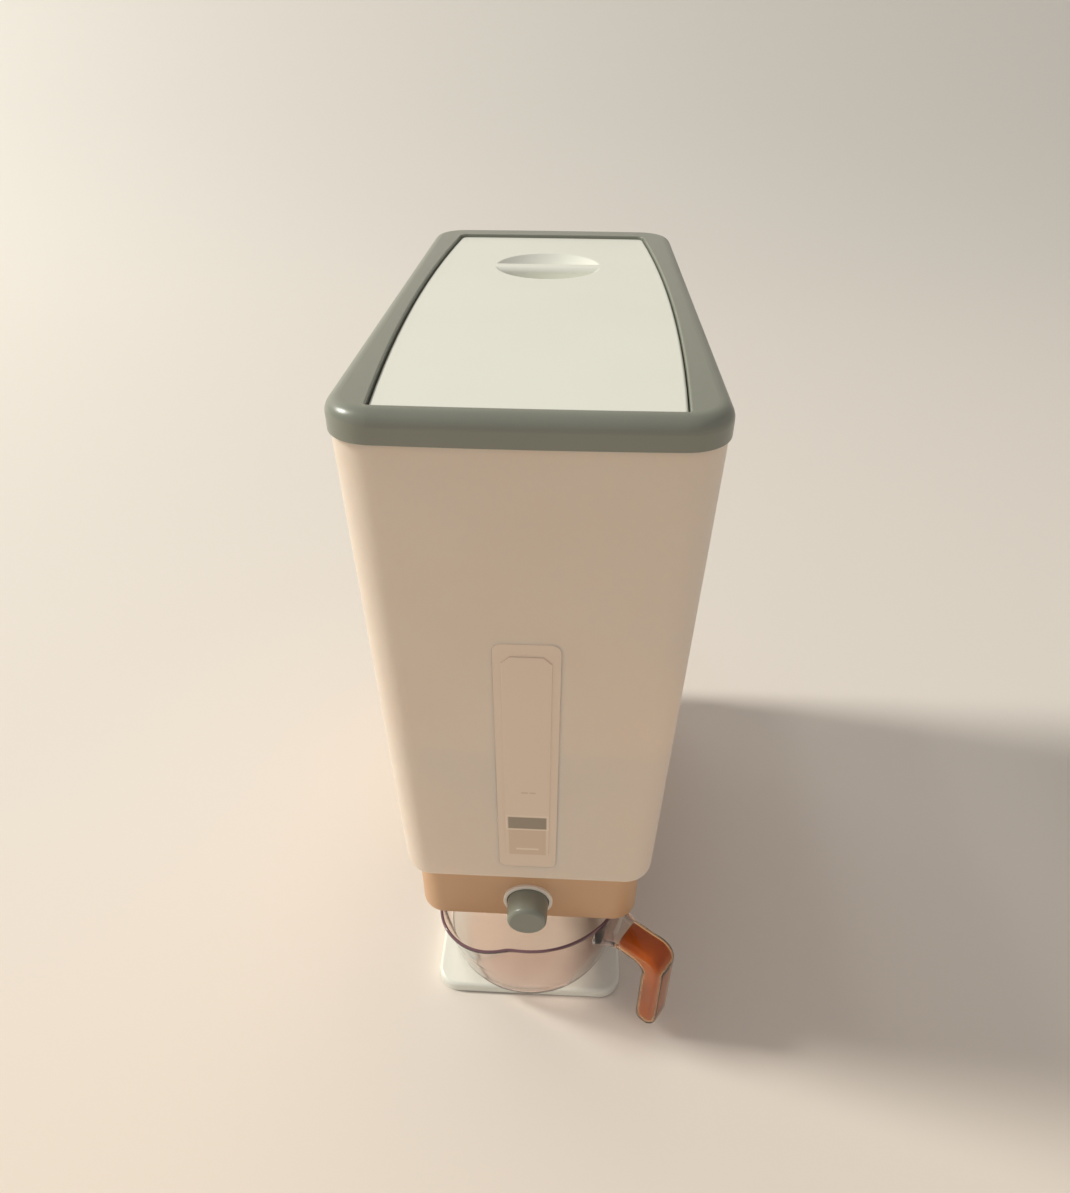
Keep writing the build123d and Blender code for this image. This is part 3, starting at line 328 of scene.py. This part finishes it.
def add_skin(mesh, rings, inward=False):
    """Join rings by quads, close both ends, and turn the faces outwards, or inwards for a cavity."""
    loops = [[mesh.verts.new(point) for point in ring] for ring in rings]
    faces = []
    for near, far in zip(loops, loops[1:]):
        for i in range(len(near)):
            j = (i + 1) % len(near)
            faces.append(mesh.faces.new((near[i], near[j], far[j], far[i])))
    faces.append(mesh.faces.new(list(reversed(loops[0]))))
    faces.append(mesh.faces.new(loops[-1]))
    bmesh.ops.recalc_face_normals(mesh, faces=faces)
    if inward:
        bmesh.ops.reverse_faces(mesh, faces=faces)


def piece_from(mesh, name, body, material, replaced, crease=35):
    """Turn a bmesh into a piece that rides on a body and stands for the CAD nodes named."""
    data = bpy.data.meshes.new(name)
    mesh.to_mesh(data)
    mesh.free()
    data.shade_smooth()
    data.set_sharp_from_angle(angle=radians(crease))
    data.materials.append(material)
    made = bpy.data.objects.new(name, data)
    bpy.context.scene.collection.objects.link(made)
    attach(made, body)
    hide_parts(*replaced)
    print(name, len(data.polygons), "faces")


# %% [markdown]
# ## Measuring cup
# The cup is injection moulded in one piece from clear plastic with a faint violet cast, which hides
# yellowing. Its wall is 2 mm thick and bellies out from a flat foot. The pouring lip is a cone that
# leaves the wall below the rim and grows towards it, so the outline at each height is the larger of
# two circles, with the corner between them softened.

# %% Cup sizes
CUP_PLACE = Vector((0.0, -117.5, 8.7))
CUP_HEIGHT = 77.0
FOOT_RADIUS = 43.5
HEEL = 16.0
BELLY_RADIUS = 65.6
RIM_RADIUS = 67.5
CUP_WALL = 2.0
LIP_ANGLE = -126.0
LIP_START = 35.0
LIP_CENTRES = (48.6, 43.5)
LIP_RADII = (14.0, 34.0)
LIP_SOFTNESS = 1.6
ROUND_STEPS = 192


def wall_radius(height):
    """Outer radius of the round wall at a height above the cup's underside."""
    if height <= HEEL:
        return FOOT_RADIUS + sqrt(max(0.0, HEEL ** 2 - (HEEL - height) ** 2))
    middle = (HEEL + CUP_HEIGHT) / 2
    low, high = FOOT_RADIUS + HEEL, RIM_RADIUS
    share = (height - HEEL) / (CUP_HEIGHT - HEEL)
    bulge = BELLY_RADIUS - (low + high) / 2
    return low + (high - low) * share + bulge * (1 - ((height - middle) / (middle - HEEL)) ** 2)


def lip_radius(height, turn):
    """Reach of the lip's cone at a height, turn radians away from its middle; 0 where it isn't."""
    share = (height - LIP_START) / (CUP_HEIGHT - LIP_START)
    if share < 0:
        return 0.0
    centre = LIP_CENTRES[0] + (LIP_CENTRES[1] - LIP_CENTRES[0]) * share
    radius = LIP_RADII[0] + (LIP_RADII[1] - LIP_RADII[0]) * share
    inside = radius ** 2 - (centre * sin(turn)) ** 2
    return centre * cos(turn) + sqrt(inside) if inside > 0 and cos(turn) > 0 else 0.0


def cup_ring(height, z, inset=0.0):
    """One ring of the cup: the outline at a height, drawn at z and set in by a margin."""
    ring = []
    for i in range(ROUND_STEPS):
        angle = 2 * pi * i / ROUND_STEPS
        turn = (angle - radians(LIP_ANGLE) + pi) % (2 * pi) - pi
        wall, lip = wall_radius(height), lip_radius(height, turn)
        gap = lip - wall
        reach = wall + 0.5 * (gap + sqrt(gap ** 2 + LIP_SOFTNESS ** 2)) if lip else wall
        reach -= inset
        ring.append((CUP_PLACE + Vector((reach * cos(angle), reach * sin(angle), z))) * MM)
    return ring


# %% [markdown]
# ## Colour in the clear cup
# The skin of the grip gets an amber tint for the colour that the core inside lends it. The rim gets a
# painted violet line for the darker look of tinted plastic where one looks through it lengthways. Both
# are masks: one from the distance to the cup's axis, the other from the height.

# %% Amber grip and violet rim
AMBER_START = 78.0
AMBER_FULL = 84.0
RIM_LINE_START = 0.85
RIM_LINE_FULL = 0.55
RIM_CLEARNESS = 0.3


def distance_from_cup_axis(tree):
    """Distance of a place from the cup's upright axis."""
    axes = place_axes(tree)
    depth = combine(tree, "SUBTRACT", axes["Y"], CUP_PLACE.y * MM)
    squares = [combine(tree, "MULTIPLY", side, side) for side in (axes["X"], depth)]
    return combine(tree, "SQRT", combine(tree, "ADD", *squares))


cup_tree = FINISH["clear_cup"].node_tree
rim_top = CUP_PLACE.z + CUP_HEIGHT
grip_share = step_up(cup_tree, distance_from_cup_axis(cup_tree), AMBER_START * MM, AMBER_FULL * MM)
# Painted dark violet line round the rim, with less light let through there.
painted_rim_line = step_up(cup_tree, place_axes(cup_tree)["Z"], (rim_top - RIM_LINE_START) * MM,
                    (rim_top - RIM_LINE_FULL) * MM)
mix_colour(FINISH["clear_cup"], grip_share, "F4C696")
mix_colour(FINISH["clear_cup"], painted_rim_line, "94707A")
rim_clearness = add(cup_tree, "ShaderNodeMapRange",
                    {"Value": painted_rim_line, "To Min": 1.0, "To Max": RIM_CLEARNESS})
cup_shader = next(n for n in cup_tree.nodes if n.type == "BSDF_PRINCIPLED")
cup_tree.links.new(rim_clearness.outputs[0], cup_shader.inputs["Transmission Weight"])

# %% [markdown]
# ## Cup rings
# The rings go up the outside, over the rounded rim and down the inside, so the cup is one closed
# skin with an even wall.

# %% Rings of the cup
HEEL_STEPS = 8
WALL_STEPS = 24
RIM_STEPS = 8
top = CUP_HEIGHT - CUP_WALL / 2
heel_heights = [HEEL * (1 - cos(pi / 2 * i / HEEL_STEPS)) for i in range(HEEL_STEPS + 1)]
wall_heights = [HEEL + (top - HEEL) * i / WALL_STEPS for i in range(1, WALL_STEPS + 1)]
outside = [cup_ring(h, h) for h in heel_heights + wall_heights]
rim_bead = []
for i in range(1, RIM_STEPS):
    turn = pi * i / RIM_STEPS
    rise, inset = CUP_WALL / 2 * sin(turn), CUP_WALL / 2 * (1 - cos(turn))
    rim_bead.append(cup_ring(top, top + rise, inset))
inside = [cup_ring(h, max(h, CUP_WALL + h * (HEEL - CUP_WALL) / HEEL), CUP_WALL)
          for h in reversed(heel_heights + wall_heights)]
cup_mesh = bmesh.new()
add_skin(cup_mesh, outside + rim_bead + inside)

# %% [markdown]
# ## Cup handle
# The arm leaves the rim as a flared root, bends down and ends as a rounded grip. A clear skin is
# moulded round an amber core that starts past the root. In side view the handle has an outer and an
# inner line. Walking both lines together gives pairs of points, and each pair carries one rounded
# rectangle. The core is the same walk with every side set in.

# %% Handle sizes
HANDLE_ANGLE = -36.0
ARM_TOP = 76.0
ARM_UNDER = 63.0
GRIP_OUTER = 112.5
GRIP_INNER = 97.5
GRIP_END = 0.8
OUTER_BEND = 11.0
INNER_BEND = 6.0
HANDLE_WIDTH = 22.0
HANDLE_CORNER = 5.6
END_ROUND = 6.4
ROOT_START = 65.6
ROOT_END = 80.0
ROOT_WIDTH = 37.0
SKIN = 1.8
CORE_GAP = 0.15
CORE_START = 80.7
FLARE_CURVE = 1.3
ARM_STEPS = 8
BEND_STEPS = 16
GRIP_STEPS = 8
END_STEPS = 7


def bend_pair(share):
    """Points of the outer and the inner line a share of the way round the bend."""
    turn = pi / 2 * share
    start, end = GRIP_INNER - INNER_BEND, ARM_UNDER - INNER_BEND
    inner = Vector((start + INNER_BEND * sin(turn), end + INNER_BEND * cos(turn)))
    run, drop = GRIP_OUTER - OUTER_BEND - start, ARM_TOP - OUTER_BEND - end
    way = share * (run + pi / 2 * OUTER_BEND + drop)
    if way < run:
        return Vector((start + way, ARM_TOP)), inner
    way -= run
    if way < pi / 2 * OUTER_BEND:
        turn = way / OUTER_BEND
        return Vector((start + run + OUTER_BEND * sin(turn), ARM_TOP - OUTER_BEND * (1 - cos(turn)))), inner
    return Vector((GRIP_OUTER, ARM_TOP - OUTER_BEND - (way - pi / 2 * OUTER_BEND))), inner


def handle_pairs(start, end):
    """Outer and inner points from the root to the grip's end."""
    arm = GRIP_INNER - INNER_BEND
    reaches = [start + (arm - start) * i / ARM_STEPS for i in range(ARM_STEPS)]
    pairs = [(Vector((reach, ARM_TOP)), Vector((reach, ARM_UNDER))) for reach in reaches]
    pairs += [bend_pair(i / BEND_STEPS) for i in range(BEND_STEPS + 1)]
    grip = ARM_UNDER - INNER_BEND
    depths = [grip + (end + END_ROUND - grip) * i / GRIP_STEPS for i in range(1, GRIP_STEPS + 1)]
    depths += [end + END_ROUND * (1 - sin(pi / 2 * i / END_STEPS)) for i in range(1, END_STEPS)]
    return pairs + [(Vector((GRIP_OUTER, z)), Vector((GRIP_INNER, z))) for z in depths]


def handle_rings(start, end, inset=0.0, flare=True):
    """Rings of the handle, each a rounded rectangle across its pair of points."""
    out = Vector((cos(radians(HANDLE_ANGLE)), sin(radians(HANDLE_ANGLE)), 0.0))
    across = Vector((-out.y, out.x, 0.0))
    rings = []
    for outer, inner in handle_pairs(start, end):
        middle, depth = (outer + inner) / 2, (outer - inner).length - 2 * inset
        width = HANDLE_WIDTH - 2 * inset
        if flare and middle.x < ROOT_END:
            flare_share = ((ROOT_END - middle.x) / (ROOT_END - ROOT_START)) ** FLARE_CURVE
            width += (ROOT_WIDTH - HANDLE_WIDTH) * flare_share
        if middle.y < end + END_ROUND:
            left = END_ROUND - sqrt(END_ROUND ** 2 - (END_ROUND - (middle.y - end)) ** 2)
            width, depth = width - 2 * left, depth - 2 * left
        up = (outer - inner).normalized()
        ring = []
        for w, h in rounded_ring(width, depth, HANDLE_CORNER - inset):
            rise = Vector((0, 0, middle.y + up.y * h))
            ring.append((CUP_PLACE + out * (middle.x + up.x * h) + across * w + rise) * MM)
        rings.append(ring)
    return rings


# %% [markdown]
# ## Joining cup, handle and core
# Cup and handle skin are one piece of clear plastic, so their rings go into one mesh. The cavity for
# the core is a skin of its own that faces inwards. The core fills it apart from a thin gap.

# %% Clear skin with its cavity, and the amber core
add_skin(cup_mesh, handle_rings(ROOT_START, GRIP_END))
add_skin(cup_mesh, handle_rings(CORE_START - CORE_GAP, GRIP_END + SKIN, SKIN, flare=False), inward=True)
piece_from(cup_mesh, "cup_and_handle_skin", "cup", FINISH["clear_cup"], ["measuring_cup"])
core_mesh = bmesh.new()
add_skin(core_mesh, handle_rings(CORE_START, GRIP_END + SKIN + CORE_GAP, SKIN + CORE_GAP, flare=False))
piece_from(core_mesh, "amber_core", "cup", FINISH["amber_plastic"], ["cup_handle_insert"])

# %% [markdown]
# ## Screws
# Twenty-four self-tapping screws are drawn here. They differ only in size and place, so one Geometry
# Nodes tree draws them all: a shank, a pan head with a cross recess, and one copy on each point. Every
# screw stops at its own turn, so the crosses point in random directions.

# %% Screw proportions and small tree helpers
HEAD_SPREAD = 1.9
HEAD_HEIGHT = 1.1
RECESS = 0.55
RECESS_SPAN = 4
RECESS_DEPTH = 2
SHANK_SIDES = 16
HEAD_SIDES = 24
TURN_SEED = 5
START_SIZES = {"Radius": 1.5 * MM, "Length": 11 * MM}


def number_input(tree, name, value):
    """Named number that the modifier can set."""
    socket = tree.interface.new_socket(name, in_out="INPUT", socket_type="NodeSocketFloat")
    socket.default_value = value
    return socket.identifier


def scaled(tree, value, factor):
    """A number of the tree times a plain one."""
    return add(tree, "ShaderNodeMath", {0: value, 1: factor}, operation="MULTIPLY").outputs[0]


def at_height(tree, mesh, height):
    """The mesh moved up by a number of the tree."""
    place = add(tree, "ShaderNodeCombineXYZ", {"Z": height}).outputs[0]
    return add(tree, "GeometryNodeTransform", {"Geometry": mesh, "Translation": place}).outputs[0]


# %% [markdown]
# ## The screw tree
# The origin is the seat under the head: the head hangs below it and the shank stands above it. Two
# crossed bars are cut out of the head for the recess. Radius and Length are named inputs.


# %% Head and tree
def screw_head(tree, radius):
    """Round head under the seat, with the cross cut out of its outer face."""
    spread, height = scaled(tree, radius, HEAD_SPREAD), scaled(tree, radius, HEAD_HEIGHT)
    head_sizes = {"Vertices": HEAD_SIDES, "Radius": spread, "Depth": height}
    head = add(tree, "GeometryNodeMeshCylinder", head_sizes)
    hanging = at_height(tree, head.outputs["Mesh"], scaled(tree, radius, -HEAD_HEIGHT / 2))
    cut = add(tree, "GeometryNodeMeshBoolean", {"Mesh 1": hanging}, operation="DIFFERENCE", solver="EXACT")
    for long_way, short_way in (("X", "Y"), ("Y", "X")):
        sides = {long_way: scaled(tree, radius, RECESS_SPAN * RECESS),
                 short_way: scaled(tree, radius, RECESS),
                 "Z": scaled(tree, radius, RECESS_DEPTH * RECESS)}
        size = add(tree, "ShaderNodeCombineXYZ", sides).outputs[0]
        bar = add(tree, "GeometryNodeMeshCube", {"Size": size}).outputs["Mesh"]
        tree.links.new(at_height(tree, bar, scaled(tree, radius, -HEAD_HEIGHT)), cut.inputs["Mesh 2"])
    return cut.outputs["Mesh"]


def screw_tree(material):
    """Tree that puts one screw on every point, each at its own turn."""
    tree = bpy.data.node_groups.new("screws", "GeometryNodeTree")
    tree.interface.new_socket("Geometry", in_out="INPUT", socket_type="NodeSocketGeometry")
    tree.interface.new_socket("Geometry", in_out="OUTPUT", socket_type="NodeSocketGeometry")
    keys = {name: number_input(tree, name, value) for name, value in START_SIZES.items()}
    start = tree.nodes.new("NodeGroupInput").outputs
    radius, length = start["Radius"], start["Length"]
    shank_sizes = {"Vertices": SHANK_SIDES, "Radius": radius, "Depth": length}
    shank = add(tree, "GeometryNodeMeshCylinder", shank_sizes)
    screw = add(tree, "GeometryNodeJoinGeometry")
    tree.links.new(screw_head(tree, radius), screw.inputs[0])
    tree.links.new(at_height(tree, shank.outputs["Mesh"], scaled(tree, length, 0.5)), screw.inputs[0])
    turn = add(tree, "FunctionNodeRandomValue", {"Seed": TURN_SEED}, data_type="FLOAT_VECTOR")
    turn.inputs[0].default_value = (0.0, 0.0, 0.0)
    turn.inputs[1].default_value = (0.0, 0.0, 2 * pi)
    spread = {"Points": start["Geometry"], "Instance": screw.outputs[0], "Rotation": turn.outputs[0]}
    copies = add(tree, "GeometryNodeInstanceOnPoints", spread)
    real = add(tree, "GeometryNodeRealizeInstances", {"Geometry": copies.outputs[0]}).outputs[0]
    named = add(tree, "GeometryNodeSetMaterial", {"Geometry": real, "Material": material}).outputs[0]
    tree.links.new(named, add(tree, "NodeGroupOutput").inputs[0])
    return tree, keys


# %% [markdown]
# ## Screws on their points
# The points come from the CAD parts, which keeps each screw in its hole. Corners less than about a
# head's width apart belong to the same screw.

# %% Place and draw the screws
ONE_SCREW = 2.2
SCREW_RADII = {"container_screws": 1.5, "floor_screws": 1.5, "guide_screws": 1.1, "column_screws": 1.9,
               "base_screws": 1.9}


def screw_seats(part, radius):
    """Middle of each screw of a CAD part at its seat, and the length of the shank."""
    groups = []
    limit = ONE_SCREW * HEAD_SPREAD * radius
    for vertex in part.data.vertices:
        place = part.matrix_world @ vertex.co
        near = [g for g in groups if hypot(g[0].x - place.x, g[0].y - place.y) < limit]
        if near:
            near[0].append(place)
        else:
            groups.append([place])
    seats = []
    for group in groups:
        low = [min(p[axis] for p in group) for axis in range(3)]
        high = [max(p[axis] for p in group) for axis in range(3)]
        seats.append(((low[0] + high[0]) / 2, (low[1] + high[1]) / 2, low[2] + HEAD_HEIGHT * radius))
    return seats, high[2] - low[2] - HEAD_HEIGHT * radius


def draw_screws(part_name, radius, tree, keys):
    """Plain mesh with the screws of one CAD part, standing for that part."""
    seats, length = screw_seats(nodes[part_name], radius)
    points = bpy.data.meshes.new(part_name + "_points")
    points.from_pydata(seats, [], [])
    holder = bpy.data.objects.new(part_name + "_points", points)
    bpy.context.scene.collection.objects.link(holder)
    drawn = holder.modifiers.new("screws", "NODES")
    drawn.node_group = tree
    drawn[keys["Radius"]] = radius
    drawn[keys["Length"]] = length
    evaluated = holder.evaluated_get(bpy.context.evaluated_depsgraph_get())
    made_mesh = bpy.data.meshes.new_from_object(evaluated)
    bpy.data.objects.remove(holder)
    made_mesh.name = part_name + "_turned"
    made = bpy.data.objects.new(part_name + "_turned", made_mesh)
    bpy.context.scene.collection.objects.link(made)
    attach(made, "stand")
    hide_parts(part_name)
    print(part_name, len(seats), "screws,", len(made_mesh.polygons), "faces, length", round(length / MM, 2))


screws, screw_keys = screw_tree(FINISH["steel"])
for part_name, radius_mm in SCREW_RADII.items():
    draw_screws(part_name, radius_mm * MM, screws, screw_keys)

# %% [markdown]
# ## Floor and light
# The photograph has a low sun from the left and a little behind, softened to a wide shadow. The
# pale surface throws warm light back on the front, and it runs on to the top of the picture without
# a horizon. A studio does that with a sweep: paper that lies flat and then curves up behind. Its
# colour is warmest in front and a little darker at the back, as the background of the picture is;
# the darker back is painted shade for the light falling off with distance.


# %% Paper sweep
def paper_sweep(half_width, front, bend, radius, height, steps=24):
    """Paper that lies flat to the distance bend, curves up with the given radius and ends upright."""
    arc = [(bend + radius * sin(pi / 2 * i / steps), radius * (1 - cos(pi / 2 * i / steps)))
           for i in range(steps + 1)]
    line = [(front, 0.0)] + arc + [(bend + radius, height)]
    mesh = bpy.data.meshes.new("paper_sweep")
    verts = [(side * half_width, y, z) for y, z in line for side in (-1, 1)]
    faces = [(2 * i, 2 * i + 1, 2 * i + 3, 2 * i + 2) for i in range(len(line) - 1)]
    mesh.from_pydata(verts, [], faces)
    mesh.shade_smooth()
    sweep = bpy.data.objects.new("paper_sweep", mesh)
    bpy.context.scene.collection.objects.link(sweep)
    return sweep


def paper_finish(front, back, stops):
    """Matt paper in colours by distance. Stops are hex colours at shares above 0 and below 1."""
    made, tree, shader = start_material("matt_paper", Roughness=0.95)
    distance = place_axes(tree)["Y"]
    share = add(tree, "ShaderNodeMapRange", {"Value": distance, "From Min": front, "From Max": back})
    ramp = add(tree, "ShaderNodeValToRGB", {"Fac": share.outputs[0]})
    elements = ramp.color_ramp.elements
    for place, colour in stops:
        elements.new(place).color = linear(colour)
    elements.remove(elements[0])
    elements.remove(elements[-1])
    tree.links.new(ramp.outputs["Color"], shader.inputs["Base Color"])
    return made


# Darker towards the back: painted shade for the light falling off with distance.
paper = paper_finish(front=-1.0, back=4.0, stops=((0.10, "F3E5D6"), (0.20, "EBE4DC"), (0.75, "DBD7D1")))
sweep = paper_sweep(half_width=7.0, front=-4.0, bend=1.6, radius=2.2, height=6.0)
sweep.data.materials.append(paper)
print("paper sweep:", len(sweep.data.polygons), "faces")

# %% [markdown]
# ## Lamp and sky
# One round lamp stands for the low sun and a plain sky fills the shadows. Where the camera sees past
# the paper, the sky shows as a pale colour, which lights nothing.

# %% Lamp and sky
AIM_HEIGHT = 0.2


def lamp(name, direction, distance, size, power, colour):
    """Round area lamp at a distance in the given direction, aimed at the middle of the dispenser."""
    data = bpy.data.lights.new(name, "AREA")
    data.shape = "DISK"
    data.size = size
    data.energy = power
    data.color = linear(colour)[:3]
    made = bpy.data.objects.new(name, data)
    aim = Vector(direction).normalized()
    made.location = Vector((0.0, 0.0, AIM_HEIGHT)) + aim * distance
    made.rotation_euler = aim.to_track_quat("Z", "Y").to_euler()
    bpy.context.scene.collection.objects.link(made)


lamp("window_light", direction=(-0.77, 0.10, 0.62), distance=8.5, size=1.4, power=560.0, colour="FFFDF3")
world = bpy.data.worlds.new("studio")
world.use_nodes = True
world_tree = world.node_tree
world_tree.nodes.clear()
sky = add(world_tree, "ShaderNodeBackground", {"Color": linear("FAF6F4"), "Strength": 0.39})
pale = add(world_tree, "ShaderNodeBackground", {"Color": linear("E4DDD3"), "Strength": 1.0})
seen = add(world_tree, "ShaderNodeLightPath").outputs["Is Camera Ray"]
both = add(world_tree, "ShaderNodeMixShader", {0: seen, 1: sky.outputs["Background"],
                                               2: pale.outputs["Background"]})
add(world_tree, "ShaderNodeOutputWorld", {"Surface": both.outputs["Shader"]})
bpy.context.scene.world = world
